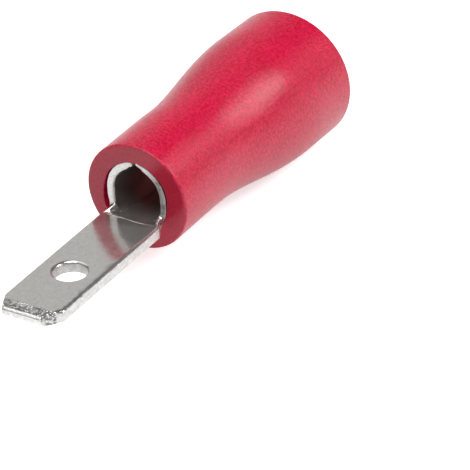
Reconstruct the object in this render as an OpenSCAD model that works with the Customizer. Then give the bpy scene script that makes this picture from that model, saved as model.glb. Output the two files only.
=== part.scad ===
// Insulated male spade terminal for 0.5 to 1.5 square millimetre wire.
// A blade, a short neck and a wire barrel are folded from one piece of tinned brass sheet,
// and a flared soft sleeve is pressed over the barrel. The barrel runs along +Y with its
// seam on top, and the blade points along -Y. Lengths are in millimetres.

/* [Sheet and blade] */
// Thickness of the metal sheet
sheet_t = 0.5; // [0.4:0.05:0.8]
// Width of the blade
blade_w = 2.8; // [2.4:0.1:3.0]
// Distance from the barrel's mouth to the tip of the blade
blade_reach = 8.25; // [7:0.05:12]
// Height of the barrel's axis above the blade's top face
blade_drop = 0.77; // [0.7:0.01:0.9]
// Width of the cut at each corner of the tip
tip_corner_w = 0.44; // [0.3:0.02:0.8]
// Length of the cut at each corner of the tip
tip_corner_l = 0.76; // [0.3:0.02:1.2]
// Depth of the tip's upper bevel
tip_bevel_top = 0.14; // [0.05:0.01:0.18]
// Depth of the tip's lower bevel
tip_bevel_under = 0.06; // [0.02:0.01:0.15]
// Length of the upper bevel
tip_bevel_l = 0.5; // [0.2:0.05:1]
// Radius of the rolled upper edges of the blade
edge_roll = 0.06; // [0.02:0.01:0.12]

/* [Detent hole] */
// Diameter of the hole that the mating spring catches
hole_d = 1.4; // [1:0.05:1.6]
// Distance from the tip to the centre of the hole
hole_setback = 3.32; // [2.5:0.02:4]
// Radius of the hole's rolled upper rim
hole_roll = 0.09; // [0.03:0.01:0.15]

/* [Neck] */
// Length of the neck between the blade and the barrel's mouth
neck_l = 0.56; // [0.4:0.02:1]
// Depth of the notch at each side of the neck
neck_notch = 0.13; // [0.05:0.01:0.3]
// Depth below the axis at which the neck meets the barrel's sides
neck_sides = 0.36; // [0.3:0.02:0.7]

/* [Barrel] */
// Outside diameter of the rolled barrel
barrel_d = 3.1; // [2.9:0.05:3.8]
// Length of the barrel
barrel_l = 6.5; // [5:0.1:8]
// Width of the barrel's squeezed front mouth
mouth_w = 2.86; // [2.6:0.02:2.9]
// Wall of the coined front mouth
mouth_wall = 0.4; // [0.3:0.02:0.5]
// Length over which the mouth becomes round
mouth_l = 1.3; // [0.8:0.1:2]
// Rise of the mouth's inside to a peak where the two sheet edges meet
mouth_peak = 0.2; // [0:0.02:0.26]
// Gap between the two sheet edges along the seam
seam_gap = 0.06; // [0.02:0.01:0.15]
// Width of the open vee under the seam
seam_vee_w = 0.4; // [0.1:0.02:0.6]
// Depth of the open vee under the seam
seam_vee_h = 0.3; // [0.1:0.02:0.36]
// Chamfer inside the barrel's rear end
entry_chamfer = 0.2; // [0.05:0.05:0.3]

/* [Sleeve] */
// Wall of the sleeve
sleeve_wall = 0.85; // [0.6:0.05:1.2]
// Length of the sleeve
sleeve_l = 12.2; // [11:0.1:14]
// Length of the front part before the flare
sleeve_front_l = 4.1; // [3.5:0.1:5]
// Length of the flare
flare_l = 5.6; // [4:0.1:7]
// Loss of diameter from the flare to the rear rim
rear_taper = 0.1; // [0:0.02:0.3]
// Diameter of the wire entry behind the flare
entry_d = 4.4; // [3.8:0.1:4.8]
// Radial clearance between the barrel and the sleeve that grips it
sleeve_fit = 0; // [0:0.01:0.05]
// Gap between the barrel's rear end and the inner funnel
funnel_gap = 0.2; // [0.1:0.1:1]
// Length of the inner funnel
funnel_l = 2.2; // [1:0.1:3]
// Radius of the sleeve's outer front edge
front_round = 0.16; // [0.05:0.01:0.3]
// Radius of the sleeve's outer and inner rear edges
rear_round = 0.26; // [0.1:0.02:0.35]
// Radius of the bore's front edge
bore_round = 0.08; // [0.03:0.01:0.15]

/* [Hidden] */
$fn = 96;
lip = 0.06;
step = 0.02;
crease = 0.03;
blade_top = -blade_drop;
blade_under = blade_top - sheet_t;
neck_w = blade_w - 2 * neck_notch;
barrel_r = barrel_d / 2;
barrel_bore_r = barrel_r - sheet_t;
sleeve_bore_r = barrel_r + sleeve_fit;
front_r = sleeve_bore_r + sleeve_wall;
entry_r = entry_d / 2;
rear_r = entry_r + sleeve_wall;
rim_r = rear_r - rear_taper / 2;
flare_end = sleeve_front_l + flare_l;
funnel_start = barrel_l + funnel_gap;
funnel_end = funnel_start + funnel_l;
axis_height = rear_r;
middle_y = (sleeve_l - blade_reach) / 2;
curve_steps = 14;
round_steps = 5;

// Extrudes a section drawn in X and Z from one Y to another
module run_y(from, to) {
  translate([0, to, 0])
    rotate([90, 0, 0])
      linear_extrude(to - from)
        children();
}

// Extrudes a side profile drawn in Y and Z across a width centred on X
module run_x(width) {
  translate([-width / 2, 0, 0])
    rotate([90, 0, 90])
      linear_extrude(width)
        children();
}

// Turns a profile of radius and length about the Y axis
module turn_y() {
  rotate([-90, 0, 0])
    rotate_extrude()
      children();
}

// A quarter circle about a centre, between two angles
function arc(centre, radius, a0, a1) =
  [for (i = [0:round_steps])
    let (a = a0 + (a1 - a0) * i / round_steps)
      [centre[0] + radius * cos(a), centre[1] + radius * sin(a)]];

// A smooth S from one radius to another, as [radius, length] points
function s_curve(r0, r1, y0, y1) =
  [for (i = [0:curve_steps])
    let (t = i / curve_steps)
      [r0 + (r1 - r0) * (1 - cos(180 * t)) / 2, y0 + (y1 - y0) * t]];

// Height of the mouth's outline over the plain ellipse, rising to a low peak at the top
function peak_rise(a, peak) = peak * pow(max(0, 1 - abs(a - 90) / 90), 4);

// One of the mouth's outlines in X and Z: an ellipse, whose upper halves can meet in a peak
function mouth_outline(half_w, half_h, peak) =
  [for (i = [0:63])
    let (a = i * 360 / 64)
      [half_w * cos(a), half_h * sin(a) + peak_rise(a, peak)]];

// Blade seen from above, with its corners cut at the tip
module blade_plan() {
  polygon([
    [-blade_w / 2, -neck_l],
    [-blade_w / 2, tip_corner_l - blade_reach],
    [tip_corner_w - blade_w / 2, -blade_reach],
    [blade_w / 2 - tip_corner_w, -blade_reach],
    [blade_w / 2, tip_corner_l - blade_reach],
    [blade_w / 2, -neck_l]
  ]);
}

// Blade seen from the side, bevelled above and below at the tip
module blade_profile() {
  polygon([
    [-neck_l, blade_under],
    [-neck_l, blade_top],
    [tip_bevel_l - blade_reach, blade_top],
    [-blade_reach, blade_top - tip_bevel_top],
    [-blade_reach, blade_under + tip_bevel_under],
    [tip_bevel_l / 2 - blade_reach, blade_under]
  ]);
}

// Blade's section, with the two upper edges rolled by the punch
module blade_section() {
  side = blade_w / 2 - edge_roll;
  polygon(concat(
    [[-blade_w / 2, blade_under], [blade_w / 2, blade_under]],
    arc([side, blade_top - edge_roll], edge_roll, 0, 90),
    arc([-side, blade_top - edge_roll], edge_roll, 90, 180)));
}

// Hole with a rolled upper rim
module detent_hole() {
  hole_r = hole_d / 2;
  rim = hole_r + hole_roll;
  translate([0, hole_setback - blade_reach, blade_top])
    rotate_extrude()
      polygon(concat(
        [[0, -2 * sheet_t], [hole_r, -2 * sheet_t]],
        arc([rim, -hole_roll], hole_roll, 180, 90),
        [[rim, sheet_t], [0, sheet_t]]));
}

// Blade, cut out of the sheet by its three profiles
module blade() {
  difference() {
    intersection() {
      translate([0, 0, -barrel_d])
        linear_extrude(barrel_d)
          blade_plan();
      run_x(2 * blade_w)
        blade_profile();
      run_y(-2 * blade_reach, 0)
        blade_section();
    }
    detent_hole();
  }
}

// Outside of the squeezed mouth
module mouth_outside() {
  polygon(mouth_outline(mouth_w / 2, barrel_r, 0));
}

// Inside of the mouth, pointed at the seam
module mouth_inside() {
  polygon(mouth_outline(mouth_w / 2 - mouth_wall, barrel_r - mouth_wall, mouth_peak));
}

// Solid that the neck is cut from: flat at the blade, trough-shaped at the barrel
module neck_outside() {
  hull() {
    run_y(-neck_l, lip - neck_l)
      translate([-neck_w / 2, blade_under])
        square([neck_w, sheet_t]);
    run_y(0, lip)
      intersection() {
        mouth_outside();
        translate([-mouth_w, -2 * barrel_r])
          square([2 * mouth_w, 2 * barrel_r - neck_sides]);
      }
  }
}

// Space above the neck's floor, which the barrel's mouth opens into
module neck_inside() {
  hull() {
    run_y(-neck_l - lip, -neck_l)
      translate([-blade_w / 2, blade_top + crease])
        square([blade_w, blade_drop + barrel_bore_r]);
    run_y(-lip / 2, lip / 2)
      mouth_inside();
  }
}

// Outside of the barrel: squeezed at the mouth, round behind it
module barrel_outside() {
  hull() {
    run_y(0, lip)
      mouth_outside();
    run_y(mouth_l, mouth_l + lip)
      circle(barrel_r - step);
  }
  run_y(mouth_l, barrel_l)
    circle(barrel_r);
}

// Inside of the barrel, with a chamfered wire entry at the rear
module barrel_inside() {
  hull() {
    run_y(-lip, lip)
      mouth_inside();
    run_y(mouth_l, mouth_l + lip)
      circle(barrel_bore_r - step);
  }
  turn_y()
    polygon([
      [0, mouth_l],
      [barrel_bore_r, mouth_l],
      [barrel_bore_r, barrel_l - entry_chamfer],
      [barrel_bore_r + 2 * entry_chamfer, barrel_l + entry_chamfer],
      [0, barrel_l + entry_chamfer]
    ]);
}

// Butt seam along the top, open underneath where the rolled edges part
module seam() {
  slope = seam_vee_w / 2 / seam_vee_h;
  vee_top = barrel_bore_r + seam_vee_h;
  run_y(-lip, barrel_l + lip)
    union() {
      translate([-seam_gap / 2, 0])
        square([seam_gap, 2 * barrel_r]);
      polygon([[0, vee_top], [-slope * vee_top / 2, vee_top / 2], [slope * vee_top / 2, vee_top / 2]]);
    }
}

// Stands the part with the flare on the ground and the middle of its length at Y = 0
module placed() {
  translate([0, -middle_y, axis_height])
    children();
}

module terminal() {
  color("silver")
    placed() {
      blade();
      difference() {
        union() {
          neck_outside();
          barrel_outside();
        }
        neck_inside();
        barrel_inside();
        seam();
      }
    }
}

module insulating_sleeve() {
  color("crimson")
    placed()
      turn_y()
        polygon(concat(
          arc([sleeve_bore_r + bore_round, bore_round], bore_round, 180, 270),
          arc([front_r - front_round, front_round], front_round, -90, 0),
          s_curve(front_r, rear_r, sleeve_front_l, flare_end),
          arc([rim_r - rear_round, sleeve_l - rear_round], rear_round, 0, 90),
          arc([entry_r + rear_round, sleeve_l - rear_round], rear_round, 90, 180),
          s_curve(entry_r, sleeve_bore_r, funnel_end, funnel_start)));
}

terminal();
insulating_sleeve();
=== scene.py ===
import math

import bmesh
import bpy
from mathutils import Matrix, Vector, noise

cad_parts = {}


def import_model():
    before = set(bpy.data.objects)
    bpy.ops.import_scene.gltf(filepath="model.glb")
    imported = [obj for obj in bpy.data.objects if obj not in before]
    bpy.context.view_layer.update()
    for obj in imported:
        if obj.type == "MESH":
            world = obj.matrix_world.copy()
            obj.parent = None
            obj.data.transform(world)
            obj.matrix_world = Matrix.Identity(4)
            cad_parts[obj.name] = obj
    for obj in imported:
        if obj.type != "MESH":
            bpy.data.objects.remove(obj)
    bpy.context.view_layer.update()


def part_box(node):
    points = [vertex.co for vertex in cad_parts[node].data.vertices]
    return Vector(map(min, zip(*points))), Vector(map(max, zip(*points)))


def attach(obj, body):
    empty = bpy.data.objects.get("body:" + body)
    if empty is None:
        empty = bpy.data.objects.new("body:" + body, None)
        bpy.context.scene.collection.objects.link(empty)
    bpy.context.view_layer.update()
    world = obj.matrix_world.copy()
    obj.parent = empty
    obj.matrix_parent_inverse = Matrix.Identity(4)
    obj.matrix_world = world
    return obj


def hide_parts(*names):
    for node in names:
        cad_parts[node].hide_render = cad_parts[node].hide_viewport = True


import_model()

# Lengths below are in millimetres, from a point on the barrel's axis in the sleeve's front face
MM = 0.001
sleeve_low, sleeve_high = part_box("insulating_sleeve")
MOUTH_Y = sleeve_low[1]
AXIS_Z = (sleeve_high[2] + sleeve_low[2]) / 2

# Camera, at the photograph's viewing angle
VIEW_AZIMUTH = math.radians(33.03)
VIEW_ELEVATION = math.radians(31.35)
VIEW_ROLL = math.radians(-3.49)
VIEW_DISTANCE = 125
VIEW_RIGHT = -4.032
VIEW_UP = 1.534
LENS = 234.7
SENSOR = 36

# Blade
SHEET = 0.5
BLADE_TOP = -0.77
BLADE_HALF = 1.4
TIP_Y = -8.25
CORNER_L = 0.76
CORNER_LEFT = 0.34
CORNER_RIGHT = 0.54
BEVEL_Y = -7.74
BEVEL_TOP = 0.12
RIDGE_Y = -8.14
RIDGE_DROP = 0.075
BEVEL_UNDER_Y = -7.95
BEVEL_UNDER = 0.06
HOLE_Y = -4.93
HOLE_R = 0.7

# Neck and barrel
CREASE_Y = -0.56
CREASE_H = 0.022
FLAP_ROOT = 1.5
FLAP_FILLET = 0.1
HALF_ROUND = 3.95
BARREL_R = 1.55
BORE_R = 1.05
BARREL_L = 6.5
MOUTH_L = 1.3
SEAM_HALF = 0.1
VEE_HALF = 0.2
VEE_H = 0.3

# Mouth outlines as (degrees from the seam, radius)
MOUTH_IN = (
    (0, 1.43), (9, 1.36), (19, 1.245), (35, 1.2), (50, 1.17), (68, 1.11), (90, 1.06),
    (105, 1.1), (120, 1.19), (135, 1.22), (147, 1.1), (163, 0.96), (180, 0.92),
)
MOUTH_OUT = (
    (0, 1.6), (12, 1.605), (25, 1.575), (40, 1.54), (55, 1.495), (70, 1.45), (90, 1.42),
    (105, 1.44), (120, 1.5), (135, 1.55), (150, 1.5), (180, 1.38),
)

# Edge rolls as (length inside, depth inside, length outside, depth outside)
ROLL_LEFT = (0.07, 0.06, 0.03, 0.03)
ROLL_RIGHT = (0.16, 0.14, 0.03, 0.03)
ROLL_TIP = (0.02, 0.015, 0.03, 0.03)
ROLL_HOLE = (0.15, 0.11, 0.03, 0.03)
ROLL_MOUTH_LEFT = (0.1, 0.08, 0.04, 0.04)
ROLL_MOUTH_RIGHT = (0.16, 0.24, 0.04, 0.04)
ROLL_SEAM = (0.03, 0.02, 0.1, 0.09)
ROLL_REAR = (0.2, 0.2, 0.04, 0.04)

# Sleeve
FRONT_R = 2.395
REAR_R = 3.06
SLEEVE_L = 12.2
FLARE_START = 3.8
FLARE_END = 9.9
FLARE_SHAPE = 0.926
FUNNEL_START = 6.7
FUNNEL_END = 8.9
ENTRY_R = 2.2
RIM_LOSS = 0.01
FRONT_ROUND = 0.13
REAR_ROUND = 0.18
LEAN_START = 3.0
LEAN_X = 0.175
LEAN_Z = -0.175
FLOOR_Z = -0.18

# Slight swelling of the sleeve where the flare ends, as (degrees from +X, length, height, spread)
SWELL = (48, 8.1, 0.12, 0.75)

# Lamps as (name, degrees from +Y towards +X, degrees up, size, power in watts)
LAMP_DISTANCE = 0.3
LAMPS = (
    ("key", 64, 42, (0.045, 0.08), 0.56),
    ("top", 165, 76, (0.2, 0.2), 0.47),
)
# Sky: dark, with pale patches as (degrees from +Y towards +X, degrees up, inner, outer, level)
SKY_DARK = 0.035
SKY_PATCHES = (
    (-50, 20, 21, 33, 0.5),
    (-105, 60, 26, 36, 0.9),
)
FLOOR_GLOW_SEEN = 0.7
FLOOR_GLOW_MIRRORED = 0.43


def at(x, y, z):
    return Vector((x * MM, MOUTH_Y + y * MM, AXIS_Z + z * MM))


def clamp01(value):
    return min(max(value, 0.0), 1.0)


def ease(value):
    t = clamp01(value)
    return t * t * (3 - 2 * t)


def between(table, x):
    for (x0, y0), (x1, y1) in zip(table, table[1:]):
        if x <= x1:
            t = (x - x0) / (x1 - x0)
            return y0 + (y1 - y0) * (1 - math.cos(math.pi * t)) / 2
    return table[-1][1]


def link(name, mesh):
    piece = bpy.data.objects.new(name, mesh)
    bpy.context.scene.collection.objects.link(piece)
    return piece


def finished_mesh(name, data, sharp_angle):
    bmesh.ops.recalc_face_normals(data, faces=data.faces)
    for face in data.faces:
        face.smooth = True
    for edge in data.edges:
        if edge.calc_face_angle(0) > sharp_angle:
            edge.smooth = False
    mesh = bpy.data.meshes.new(name)
    data.to_mesh(mesh)
    data.free()
    return mesh


# Shape of the sheet metal, in its unrolled plane: s runs across, y runs along


def half_width(y, side):
    corner = CORNER_LEFT if side < 0 else CORNER_RIGHT
    if y < TIP_Y + CORNER_L:
        return BLADE_HALF - corner * (TIP_Y + CORNER_L - y) / CORNER_L
    if y < -FLAP_FILLET:
        return BLADE_HALF
    rise = y + FLAP_FILLET
    return BLADE_HALF + FLAP_FILLET - math.sqrt(max(FLAP_FILLET ** 2 - rise ** 2, 0))


def sheet_outline():
    """The sheet's edge as (start, end, rolls) segments."""
    left_tip = (-(BLADE_HALF - CORNER_LEFT), TIP_Y)
    right_tip = (BLADE_HALF - CORNER_RIGHT, TIP_Y)
    parts = [(left_tip, right_tip, ROLL_TIP)]
    for side, tip in ((-1, left_tip), (1, right_tip)):
        corner = (side * BLADE_HALF, TIP_Y + CORNER_L)
        neck = (side * BLADE_HALF, -FLAP_FILLET)
        roll = ROLL_LEFT if side < 0 else ROLL_RIGHT
        parts += [(tip, corner, roll), (corner, neck, roll)]
        last = neck
        for i in range(1, 7):
            a = math.pi / 2 * i / 6
            here = (side * (BLADE_HALF + FLAP_FILLET * (1 - math.cos(a))), FLAP_FILLET * (math.sin(a) - 1))
            parts.append((last, here, roll))
            last = here
        parts.append((last, (side * HALF_ROUND, 0), ROLL_MOUTH_LEFT if side < 0 else ROLL_MOUTH_RIGHT))
        parts.append(((side * HALF_ROUND, 0), (side * HALF_ROUND, BARREL_L), ROLL_SEAM))
    parts.append(((-HALF_ROUND, BARREL_L), (HALF_ROUND, BARREL_L), ROLL_REAR))
    return parts


OUTLINE = sheet_outline()


def segment_distance(s, y, start, end):
    dx, dy = end[0] - start[0], end[1] - start[1]
    t = clamp01(((s - start[0]) * dx + (y - start[1]) * dy) / (dx * dx + dy * dy))
    return math.hypot(s - start[0] - t * dx, y - start[1] - t * dy)


def roll_depth(distance, length, depth):
    if distance >= length:
        return 0.0
    t = 1 - distance / length
    return depth * (1 - math.sqrt(max(1 - t * t, 0)))


def edge_rolls(s, y):
    """How far the two faces sink at this place, because an edge is near."""
    inside = outside = 0.0
    for start, end, roll in OUTLINE:
        distance = segment_distance(s, y, start, end)
        worn = 1.0
        if roll is ROLL_RIGHT:
            worn = 1 + 0.35 * noise.noise(Vector((s * 2, y * 6, 3)))
        inside = max(inside, roll_depth(distance, roll[0] * worn, roll[1]))
        outside = max(outside, roll_depth(distance, roll[2], roll[3]))
    distance = math.hypot(s, y - HOLE_Y) - HOLE_R
    inside = max(inside, roll_depth(max(distance, 0), ROLL_HOLE[0], ROLL_HOLE[1]))
    outside = max(outside, roll_depth(max(distance, 0), ROLL_HOLE[2], ROLL_HOLE[3]))
    return inside, outside


def flat_faces(s, y):
    top = BLADE_TOP
    under = BLADE_TOP - SHEET
    if y < BEVEL_Y:
        t = (BEVEL_Y - y) / (BEVEL_Y - TIP_Y)
        top -= BEVEL_TOP * t ** 1.15
    if y < RIDGE_Y:
        top -= RIDGE_DROP * (RIDGE_Y - y) / (RIDGE_Y - TIP_Y)
    if y < BEVEL_UNDER_Y:
        under += BEVEL_UNDER * (BEVEL_UNDER_Y - y) / (BEVEL_UNDER_Y - TIP_Y)
    return Vector((s, y, top)), Vector((s, y, under))


def round_faces(s, y):
    """Both faces of the rolled barrel. The angle runs from the seam at the top."""
    gap = SEAM_HALF / BARREL_R
    angle = math.pi - abs(s) / HALF_ROUND * (math.pi - gap)
    side = 1 if s >= 0 else -1
    degrees = math.degrees(angle)
    vee = VEE_H * clamp01(1 - BORE_R * math.sin(angle) / VEE_HALF) if degrees < 45 else 0.0
    settle = ease(y / MOUTH_L)
    inner = between(MOUTH_IN, degrees) * (1 - settle) + (BORE_R + vee) * settle
    outer = between(MOUTH_OUT, degrees) * (1 - settle) + BARREL_R * settle
    across, height = side * math.sin(angle), math.cos(angle)
    return Vector((inner * across, y, inner * height)), Vector((outer * across, y, outer * height))


def crease_height(s, y):
    """Height of the fine fold line where the bend starts."""
    wander = 0.05 * noise.noise(Vector((s * 1.5, 0, 9)))
    ends = ease((BLADE_HALF - 0.1 - abs(s)) / 0.3)
    return CREASE_H * ends * math.exp(-(((y - CREASE_Y - wander) / 0.04) ** 2))


def sheet_faces(s, y):
    """The inner and outer point of the sheet at an unrolled place."""
    if y <= CREASE_Y:
        inner, outer = flat_faces(s, y)
    elif y >= 0:
        inner, outer = round_faces(s, y)
    else:
        bend = 1 - (1 - (y - CREASE_Y) / -CREASE_Y) ** 1.6
        flat = flat_faces(s, y)
        curved = round_faces(s, 0)
        inner, outer = (flat[i].lerp(curved[i], bend) for i in (0, 1))
        inner.y = outer.y = y
    inner.z += crease_height(s, y)
    inside, outside = edge_rolls(s, y)
    through = (outer - inner).normalized()
    return inner + through * inside, outer - through * outside


FINE = (0.008, 0.02, 0.04, 0.065, 0.095)
INNER_HALF = BLADE_HALF - 0.13
CELLS = 23


def column_places():
    """Columns of the blade, as offsets that are scaled to its half width."""
    inner = [-INNER_HALF + 2 * INNER_HALF * i / CELLS for i in range(CELLS + 1)]
    low = [-BLADE_HALF] + [-BLADE_HALF + d for d in FINE]
    high = [BLADE_HALF - d for d in reversed(FINE)] + [BLADE_HALF]
    return low, inner, high


def row_places():
    block_low, block_high = HOLE_Y - INNER_HALF, HOLE_Y + INNER_HALF
    tip = [TIP_Y + d for d in (0, 0.006, 0.016, 0.03, 0.05)]
    tip += [TIP_Y + 0.05 + (block_low - TIP_Y - 0.05) * i / 40 for i in range(1, 40)]
    block = [block_low + 2 * INNER_HALF * i / CELLS for i in range(CELLS + 1)]
    root = [block_high + (CREASE_Y - 0.14 - block_high) * i / 23 for i in range(1, 24)]
    neck = [CREASE_Y - 0.14 + (0.02 - CREASE_Y) * i / 26 for i in range(1, 27)]
    fillet = [-0.1, -0.085, -0.068, -0.05, -0.034, -0.018, -0.006, 0]
    return tip, block, root + neck + fillet


def barrel_rows():
    start = [0.006, 0.018, 0.036, 0.06, 0.09, 0.125, 0.17, 0.24, 0.33, 0.45, 0.6, 0.8, 1.0, 1.2, 1.4]
    middle = [1.4 + 4.7 * i / 16 for i in range(1, 17)]
    return start + middle + [6.3, 6.36, 6.42, 6.46, 6.485, 6.5]


def flap_columns():
    start = [FLAP_ROOT + d for d in (0.01, 0.03, 0.06, 0.1)]
    middle = [FLAP_ROOT + 0.1 + (HALF_ROUND - 0.2 - FLAP_ROOT) * i / 30 for i in range(1, 31)]
    return start + middle + [HALF_ROUND - 0.06, HALF_ROUND - 0.03, HALF_ROUND - 0.012, HALF_ROUND]


class Sheet:
    """Collects the unrolled places and the cells between them."""

    def __init__(self):
        self.places = []
        self.cells = []

    def add(self, s, y):
        self.places.append((s, y))
        return len(self.places) - 1

    def strip(self, first, second):
        for i in range(len(first) - 1):
            self.cells.append((first[i], first[i + 1], second[i + 1], second[i]))


def kept_edges(offset, y):
    """Columns near the edge keep their distance from it."""
    side = -1 if offset < 0 else 1
    near = BLADE_HALF - abs(offset)
    if near < 0.12:
        return side * (half_width(y, side) - near)
    return side * abs(offset) / INNER_HALF * (half_width(y, side) - (BLADE_HALF - INNER_HALF))


def blade_cells(sheet):
    low, inner, high = column_places()
    tip, block, rest = row_places()
    columns = low + inner + high
    first_inner, last_inner = len(low), len(low) + CELLS
    rows = []
    for y in tip + block + rest:
        rows.append([sheet.add(kept_edges(x, y), y) for x in columns])
    first_block, last_block = len(tip), len(tip) + CELLS
    for j in range(len(rows) - 1):
        if first_block <= j < last_block:
            sheet.strip(rows[j][:first_inner + 1], rows[j + 1][:first_inner + 1])
            sheet.strip(rows[j][last_inner:], rows[j + 1][last_inner:])
        else:
            sheet.strip(rows[j], rows[j + 1])
    hole_cells(sheet, [row[first_inner:last_inner + 1] for row in rows[first_block:last_block + 1]])
    return rows[-1]


def hole_cells(sheet, block):
    border = block[0][:-1] + [row[-1] for row in block[:-1]]
    border += list(reversed(block[-1][1:])) + [row[0] for row in reversed(block[1:])]
    steps = (0, 0.006, 0.016, 0.032, 0.055, 0.085, 0.118, 0.155, 0.22, 0.33, 0.46)
    outer = border
    for step in reversed(steps):
        ring = []
        for index in border:
            s, y = sheet.places[index]
            away = math.hypot(s, y - HOLE_Y)
            blend = step / 0.6
            radius = (HOLE_R + step) * (1 - blend ** 2) + (HOLE_R + (away - HOLE_R) * blend) * blend ** 2
            ring.append(sheet.add(s / away * radius, HOLE_Y + (y - HOLE_Y) / away * radius))
        for i in range(len(ring)):
            k = (i + 1) % len(ring)
            sheet.cells.append((outer[i], outer[k], ring[k], ring[i]))
        outer = ring


def barrel_cells(sheet, root):
    outward = flap_columns()
    central = [sheet.places[i][0] for i in root]
    flap_left = [sheet.add(-s, 0) for s in reversed(outward)]
    flap_right = [sheet.add(s, 0) for s in outward]
    previous = flap_left + root + flap_right
    across = [-s for s in reversed(outward)] + central + outward
    for y in barrel_rows():
        row = [sheet.add(s, y) for s in across]
        sheet.strip(previous, row)
        previous = row


def rim_edges(cells):
    count = {}
    for cell in cells:
        for i in range(len(cell)):
            a, b = cell[i], cell[(i + 1) % len(cell)]
            key = (min(a, b), max(a, b))
            count[key] = None if key in count else (a, b)
    return [edge for edge in count.values() if edge]


def terminal_mesh():
    sheet = Sheet()
    root = blade_cells(sheet)
    barrel_cells(sheet, root)
    data = bmesh.new()
    inner, outer = [], []
    for s, y in sheet.places:
        top, under = sheet_faces(s, y)
        inner.append(data.verts.new(at(*top)))
        outer.append(data.verts.new(at(*under)))
    for cell in sheet.cells:
        data.faces.new([inner[i] for i in cell])
        data.faces.new([outer[i] for i in reversed(cell)])
    for a, b in rim_edges(sheet.cells):
        data.faces.new((inner[b], inner[a], outer[a], outer[b]))
    return finished_mesh("terminal_sheet", data, math.radians(40))


def terminal():
    mesh = terminal_mesh()
    piece = link("terminal_sheet", mesh)
    mesh.materials.append(tinned_brass())
    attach(piece, "root")
    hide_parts("terminal")


def lean(y):
    t = max(0.0, (y - LEAN_START) / (SLEEVE_L - LEAN_START))
    return LEAN_X * t, LEAN_Z * t


def flare_radius(y):
    t = clamp01((y - FLARE_START) / (FLARE_END - FLARE_START)) ** FLARE_SHAPE
    return FRONT_R + (REAR_R - FRONT_R) * (1 - math.cos(math.pi * t)) / 2


def quarter(centre, radius, a0, a1, steps=8):
    out = []
    for i in range(steps + 1):
        a = math.radians(a0 + (a1 - a0) * i / steps)
        out.append((centre[0] + radius * math.cos(a), centre[1] + radius * math.sin(a)))
    return out


def sleeve_profile():
    """The sleeve's section as (radius, length) points, from the bore's front edge round to it again."""
    bore_round = 0.07
    rim_r = REAR_R - RIM_LOSS
    steps = 90
    outer = []
    for i in range(1, steps):
        y = FRONT_ROUND + (SLEEVE_L - REAR_ROUND - FRONT_ROUND) * i / steps
        outer.append((flare_radius(y) - RIM_LOSS * ease((y - 8) / (SLEEVE_L - REAR_ROUND - 8)), y))
    inner = []
    for i in range(1, steps):
        y = SLEEVE_L - REAR_ROUND - (SLEEVE_L - REAR_ROUND - bore_round) * i / steps
        t = clamp01((y - FUNNEL_START) / (FUNNEL_END - FUNNEL_START))
        inner.append((BARREL_R + (ENTRY_R - BARREL_R) * (1 - math.cos(math.pi * t)) / 2, y))
    low, high = BARREL_R + bore_round, FRONT_R - FRONT_ROUND
    face = [(low + (high - low) * i / 8, 0) for i in range(1, 8)]
    return (
        quarter((BARREL_R + bore_round, bore_round), bore_round, 180, 270)
        + face
        + quarter((FRONT_R - FRONT_ROUND, FRONT_ROUND), FRONT_ROUND, -90, 0)
        + outer
        + quarter((rim_r - REAR_ROUND, SLEEVE_L - REAR_ROUND), REAR_ROUND, 0, 90)
        + quarter((ENTRY_R + REAR_ROUND, SLEEVE_L - REAR_ROUND), REAR_ROUND, 90, 180)
        + inner
    )


def bore_slack(angle, radius, y):
    """The bore's front end stands off the squeezed barrel on the left and follows it on the right."""
    near = clamp01(1 - (radius - BARREL_R) / (FRONT_R - BARREL_R - 0.1))
    depth = 1 - ease(y / 0.9)
    down = math.degrees(math.atan2(math.cos(angle), -math.sin(angle)))
    left = 0.19 * ease(1 - abs(down + 55) / 50)
    right = -0.1 * ease(1 - abs(down - 78) / 50)
    return (left + right) * near ** 1.5 * depth


def swelling(angle, radius, y):
    if radius < FRONT_R:
        return 0.0
    degrees, middle, height, width = SWELL
    around = radius * (angle - math.radians(degrees))
    return height * math.exp(-((y - middle) ** 2 + around ** 2) / (2 * width ** 2))


def insulating_sleeve():
    turns = 176
    data = bmesh.new()
    rings = []
    for radius, y in sleeve_profile():
        dx, dz = lean(y)
        ring = []
        for k in range(turns):
            a = 2 * math.pi * k / turns
            r = radius + bore_slack(a, radius, y) + swelling(a, radius, y)
            ring.append(data.verts.new(at(dx + r * math.cos(a), y, dz + r * math.sin(a))))
        rings.append(ring)
    for i, ring in enumerate(rings):
        after = rings[(i + 1) % len(rings)]
        for k in range(turns):
            m = (k + 1) % turns
            data.faces.new((ring[k], ring[m], after[m], after[k]))
    mesh = finished_mesh("sleeve_skin", data, math.radians(60))
    piece = link("sleeve_skin", mesh)
    mesh.materials.append(red_pvc())
    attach(piece, "root")
    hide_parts("insulating_sleeve")


# Node helpers for the materials


def new_material(name):
    material = bpy.data.materials.new(name)
    material.use_nodes = True
    nodes = material.node_tree.nodes
    return material, nodes, material.node_tree.links, nodes["Principled BSDF"]


def part_place(nodes, links, scale=(1, 1, 1)):
    """The place on the part in millimetres, stretched by scale."""
    geometry = nodes.new("ShaderNodeNewGeometry")
    mapping = nodes.new("ShaderNodeMapping")
    mapping.inputs["Scale"].default_value = [value / MM for value in scale]
    mapping.inputs["Location"].default_value = (0, -MOUTH_Y / MM * scale[1], -AXIS_Z / MM * scale[2])
    links.new(geometry.outputs["Position"], mapping.inputs["Vector"])
    return mapping.outputs["Vector"]


def noise_node(nodes, links, vector, scale, detail=2.0, rough=0.5):
    texture = nodes.new("ShaderNodeTexNoise")
    texture.inputs["Scale"].default_value = scale
    texture.inputs["Detail"].default_value = detail
    texture.inputs["Roughness"].default_value = rough
    links.new(vector, texture.inputs["Vector"])
    return texture.outputs["Fac"]


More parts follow.
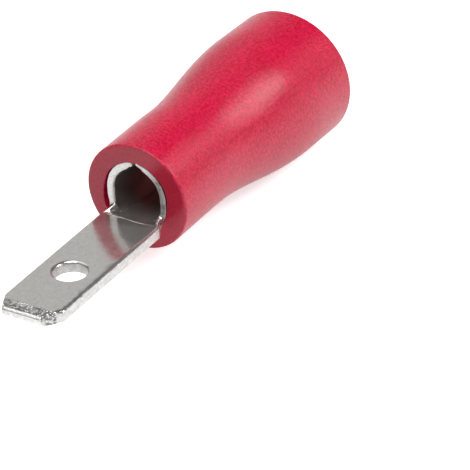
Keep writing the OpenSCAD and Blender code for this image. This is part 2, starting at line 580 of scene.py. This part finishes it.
def map_range(nodes, links, value, low, high, to_low=0.0, to_high=1.0):
    node = nodes.new("ShaderNodeMapRange")
    node.inputs["From Min"].default_value = low
    node.inputs["From Max"].default_value = high
    node.inputs["To Min"].default_value = to_low
    node.inputs["To Max"].default_value = to_high
    links.new(value, node.inputs["Value"])
    return node.outputs["Result"]


def calculate(nodes, links, operation, first, second=None):
    node = nodes.new("ShaderNodeMath")
    node.operation = operation
    for socket, value in zip(node.inputs, (first, second)):
        if value is None:
            continue
        if isinstance(value, (int, float)):
            socket.default_value = value
        else:
            links.new(value, socket)
    return node.outputs["Value"]


def bump(nodes, links, height, distance, below=None):
    node = nodes.new("ShaderNodeBump")
    node.inputs["Distance"].default_value = distance * MM
    links.new(height, node.inputs["Height"])
    if below is not None:
        links.new(below, node.inputs["Normal"])
    return node.outputs["Normal"]


def mix_colors(nodes, links, factor, first, second):
    node = nodes.new("ShaderNodeMix")
    node.data_type = "RGBA"
    links.new(factor, node.inputs[0])
    for socket, value in ((node.inputs[6], first), (node.inputs[7], second)):
        if isinstance(value, tuple):
            socket.default_value = (*value, 1)
        else:
            links.new(value, socket)
    return node.outputs[2]


def red_pvc():
    material, nodes, links, shader = new_material("red_pvc")
    where = part_place(nodes, links)
    split = nodes.new("ShaderNodeSeparateXYZ")
    links.new(where, split.inputs[0])
    skin = map_range(nodes, links, split.outputs["Y"], 0.0, 0.03)
    cloud = noise_node(nodes, links, where, 0.7, 3.0)
    grain = noise_node(nodes, links, where, 8.5, 3.0, 0.7)
    peel = noise_node(nodes, links, where, 2.6, 2.0)
    tone = map_range(nodes, links, cloud, 0.3, 0.7)
    color = mix_colors(nodes, links, tone, (0.45, 0.0028, 0.027), (0.53, 0.0045, 0.038))
    speck = map_range(nodes, links, grain, 0.42, 0.6)
    speck = calculate(nodes, links, "MULTIPLY", speck, map_range(nodes, links, skin, 0, 1, 0.35, 0.9))
    color = mix_colors(nodes, links, speck, color, (0.76, 0.014, 0.075))
    links.new(color, shader.inputs["Base Color"])
    links.new(map_range(nodes, links, skin, 0, 1, 0.19, 0.25), shader.inputs["Roughness"])
    shader.inputs["IOR"].default_value = 1.5
    shader.inputs["Subsurface Weight"].default_value = 0.2
    shader.inputs["Subsurface Radius"].default_value = (1.0, 0.1, 0.12)
    shader.inputs["Subsurface Scale"].default_value = 0.3 * MM
    normal = bump(nodes, links, calculate(nodes, links, "MULTIPLY", peel, skin), 0.01)
    normal = bump(nodes, links, calculate(nodes, links, "MULTIPLY", grain, skin), 0.032, normal)
    links.new(normal, shader.inputs["Normal"])
    return material


def sheared_faces(nodes, links, y):
    """One on the cut faces of the blade and of the mouth, and how far a face looks sideways."""
    geometry = nodes.new("ShaderNodeNewGeometry")
    split = nodes.new("ShaderNodeSeparateXYZ")
    links.new(geometry.outputs["True Normal"], split.inputs[0])
    upright = calculate(nodes, links, "ABSOLUTE", split.outputs["Z"])
    cut = map_range(nodes, links, upright, 0.7, 0.4)
    cut = calculate(nodes, links, "MULTIPLY", cut, map_range(nodes, links, y, 0.05, 0.03))
    return cut, calculate(nodes, links, "ABSOLUTE", split.outputs["X"])


def right_end_face(nodes, links, x, y, cut):
    side = calculate(nodes, links, "MULTIPLY", cut, map_range(nodes, links, x, 0.55, 1.0))
    return calculate(nodes, links, "MULTIPLY", side, map_range(nodes, links, y, -0.12, -0.05))


def hole_wall(nodes, links, x, y):
    along = calculate(nodes, links, "SUBTRACT", y, HOLE_Y)
    across = calculate(nodes, links, "MULTIPLY", x, x)
    along = calculate(nodes, links, "MULTIPLY", along, along)
    square = calculate(nodes, links, "ADD", across, along)
    return map_range(nodes, links, square, (HOLE_R + 0.02) ** 2, (HOLE_R + 0.005) ** 2, 0, 0.5)


def inside_barrel(nodes, links, x, y, z):
    across = calculate(nodes, links, "MULTIPLY", x, x)
    height = calculate(nodes, links, "MULTIPLY", z, z)
    radius = calculate(nodes, links, "SQRT", calculate(nodes, links, "ADD", across, height))
    within = map_range(nodes, links, radius, 1.42, 1.3)
    return calculate(nodes, links, "MULTIPLY", within, map_range(nodes, links, y, 0.1, 1.4))


def tinned_brass():
    material, nodes, links, shader = new_material("tinned_brass")
    where = part_place(nodes, links)
    along = part_place(nodes, links, (1, 0.12, 1))
    split = nodes.new("ShaderNodeSeparateXYZ")
    links.new(where, split.inputs[0])
    x, y, z = split.outputs
    mottle = noise_node(nodes, links, where, 4.0, 4.0, 0.6)
    lines = noise_node(nodes, links, along, 12.0, 3.0, 0.6)
    specks = noise_node(nodes, links, part_place(nodes, links, (1, 0.6, 1)), 11.0, 3.0, 0.7)
    cut, sideways = sheared_faces(nodes, links, y)

    tone = map_range(nodes, links, mottle, 0.3, 0.7)
    color = mix_colors(nodes, links, tone, (0.66, 0.645, 0.615), (0.76, 0.745, 0.715))
    grain = map_range(nodes, links, specks, 0.4, 0.6, 0, 0.35)
    color = mix_colors(nodes, links, grain, color, (0.88, 0.87, 0.85))
    bevel = map_range(nodes, links, y, -7.70, -7.80)
    ridge = map_range(nodes, links, y, -8.12, -8.16)
    worn = calculate(nodes, links, "MULTIPLY", bevel, map_range(nodes, links, ridge, 0, 1, 0.95, 0.1))
    worn = calculate(nodes, links, "MAXIMUM", worn, calculate(nodes, links, "MULTIPLY", cut, 0.22))
    flecks = map_range(nodes, links, specks, 0.42, 0.58)
    flecks = mix_colors(nodes, links, flecks, (0.17, 0.165, 0.155), (0.98, 0.975, 0.96))
    # Cut faces are bare metal with painted shade: faces that look sideways are painted darker than faces that
    # look forward
    bare_cut_with_painted_side_shade = mix_colors(nodes, links, sideways, (0.95, 0.945, 0.93), (0.74, 0.735, 0.72))
    color = mix_colors(nodes, links, calculate(nodes, links, "MAXIMUM", cut, ridge), color, bare_cut_with_painted_side_shade)
    color = mix_colors(nodes, links, worn, color, flecks)
    # Painted shade: the cut face at the right of the neck and the wall of the hole are darkened in patches
    # towards dark grey, standing in for the darker surroundings they mirror
    painted_shade = map_range(nodes, links, mottle, 0.45, 0.6, 0.6, 1.0)
    right_end = right_end_face(nodes, links, x, y, cut)
    shaded = calculate(nodes, links, "MAXIMUM", right_end, hole_wall(nodes, links, x, y))
    painted_shade = calculate(nodes, links, "MULTIPLY", painted_shade, shaded)
    color = mix_colors(nodes, links, painted_shade, color, (0.30, 0.28, 0.27))
    # Painted reflection: the inside of the barrel is tinted pink, standing in for red light from the sleeve
    color = mix_colors(nodes, links, inside_barrel(nodes, links, x, y, z), color, (0.62, 0.46, 0.44))
    links.new(color, shader.inputs["Base Color"])
    shader.inputs["Metallic"].default_value = 0.86

    rough = map_range(nodes, links, mottle, 0.3, 0.7, 0.12, 0.2)
    rough = calculate(nodes, links, "ADD", rough, map_range(nodes, links, cut, 0, 1, 0, 0.22))
    links.new(rough, shader.inputs["Roughness"])

    normal = bump(nodes, links, lines, 0.0012)
    normal = bump(nodes, links, mottle, 0.0025, normal)
    pits = calculate(nodes, links, "MULTIPLY", map_range(nodes, links, specks, 0.38, 0.62, -0.5, 0.5), worn)
    normal = bump(nodes, links, pits, 0.05, normal)
    links.new(normal, shader.inputs["Normal"])
    return material


# Stage


def direction(azimuth, elevation):
    """A direction by its angle from +Y towards +X and its height."""
    a, e = math.radians(azimuth), math.radians(elevation)
    return Vector((math.sin(a) * math.cos(e), math.cos(a) * math.cos(e), math.sin(e)))


def camera():
    right = Vector((math.cos(VIEW_AZIMUTH), math.sin(VIEW_AZIMUTH), 0))
    back = Vector((
        math.sin(VIEW_AZIMUTH) * math.cos(VIEW_ELEVATION),
        -math.cos(VIEW_AZIMUTH) * math.cos(VIEW_ELEVATION),
        math.sin(VIEW_ELEVATION),
    ))
    up = back.cross(right)
    turned_right = right * math.cos(VIEW_ROLL) + up * math.sin(VIEW_ROLL)
    turned_up = up * math.cos(VIEW_ROLL) - right * math.sin(VIEW_ROLL)
    data = bpy.data.cameras.new("photo_camera")
    data.lens = LENS
    data.sensor_width = SENSOR
    data.clip_start = 1 * MM
    data.clip_end = 10
    piece = bpy.data.objects.new("photo_camera", data)
    bpy.context.scene.collection.objects.link(piece)
    turn = Matrix((turned_right, turned_up, back)).transposed()
    place = at(*(back * VIEW_DISTANCE - turned_right * VIEW_RIGHT - turned_up * VIEW_UP))
    piece.matrix_world = Matrix.Translation(place) @ turn.to_4x4()
    bpy.context.scene.camera = piece


def floor():
    half = 1.5
    z = FLOOR_Z * MM
    mesh = bpy.data.meshes.new("floor")
    mesh.from_pydata([(-half, -half, z), (half, -half, z), (half, half, z), (-half, half, z)], [], [(0, 1, 2, 3)])
    piece = link("floor", mesh)
    material, nodes, links, shader = new_material("floor_paper")
    shader.inputs["Base Color"].default_value = (0.8, 0.8, 0.8, 1)
    shader.inputs["Roughness"].default_value = 0.9
    shader.inputs["Specular IOR Level"].default_value = 0.0
    path = nodes.new("ShaderNodeLightPath")
    seen = calculate(nodes, links, "MULTIPLY", path.outputs["Is Camera Ray"], FLOOR_GLOW_SEEN)
    mirrored = calculate(nodes, links, "MULTIPLY", path.outputs["Is Glossy Ray"], FLOOR_GLOW_MIRRORED)
    glow = calculate(nodes, links, "MAXIMUM", seen, mirrored)
    shader.inputs["Emission Color"].default_value = (1, 1, 1, 1)
    links.new(glow, shader.inputs["Emission Strength"])
    mesh.materials.append(material)


def world():
    scene_world = bpy.data.worlds.new("studio")
    bpy.context.scene.world = scene_world
    scene_world.use_nodes = True
    nodes, links = scene_world.node_tree.nodes, scene_world.node_tree.links
    background = nodes["Background"]
    place = nodes.new("ShaderNodeTexCoord")
    level = SKY_DARK
    for azimuth, elevation, inner, outer, pale in SKY_PATCHES:
        aim = nodes.new("ShaderNodeVectorMath")
        aim.operation = "DOT_PRODUCT"
        aim.inputs[1].default_value = direction(azimuth, elevation)
        links.new(place.outputs["Generated"], aim.inputs[0])
        low, high = math.cos(math.radians(outer)), math.cos(math.radians(inner))
        patch = map_range(nodes, links, aim.outputs["Value"], low, high, 0, pale)
        level = calculate(nodes, links, "MAXIMUM", patch, level)
    path = nodes.new("ShaderNodeLightPath")
    shown = mix_colors(nodes, links, path.outputs["Is Camera Ray"], level, (1.0, 1.0, 1.0))
    links.new(shown, background.inputs["Color"])
    background.inputs["Strength"].default_value = 1.0


def softbox(name, azimuth, elevation, size, power):
    away = direction(azimuth, elevation)
    data = bpy.data.lights.new(name, "AREA")
    data.shape = "RECTANGLE"
    data.size, data.size_y = size
    data.energy = power
    piece = bpy.data.objects.new(name, data)
    bpy.context.scene.collection.objects.link(piece)
    piece.location = away * LAMP_DISTANCE + Vector((0, 0, AXIS_Z))
    piece.rotation_euler = (-away).to_track_quat("-Z", "Y").to_euler()


camera()
insulating_sleeve()
terminal()
floor()
world()
for lamp in LAMPS:
    softbox(*lamp)
bpy.context.scene.view_settings.view_transform = "Standard"
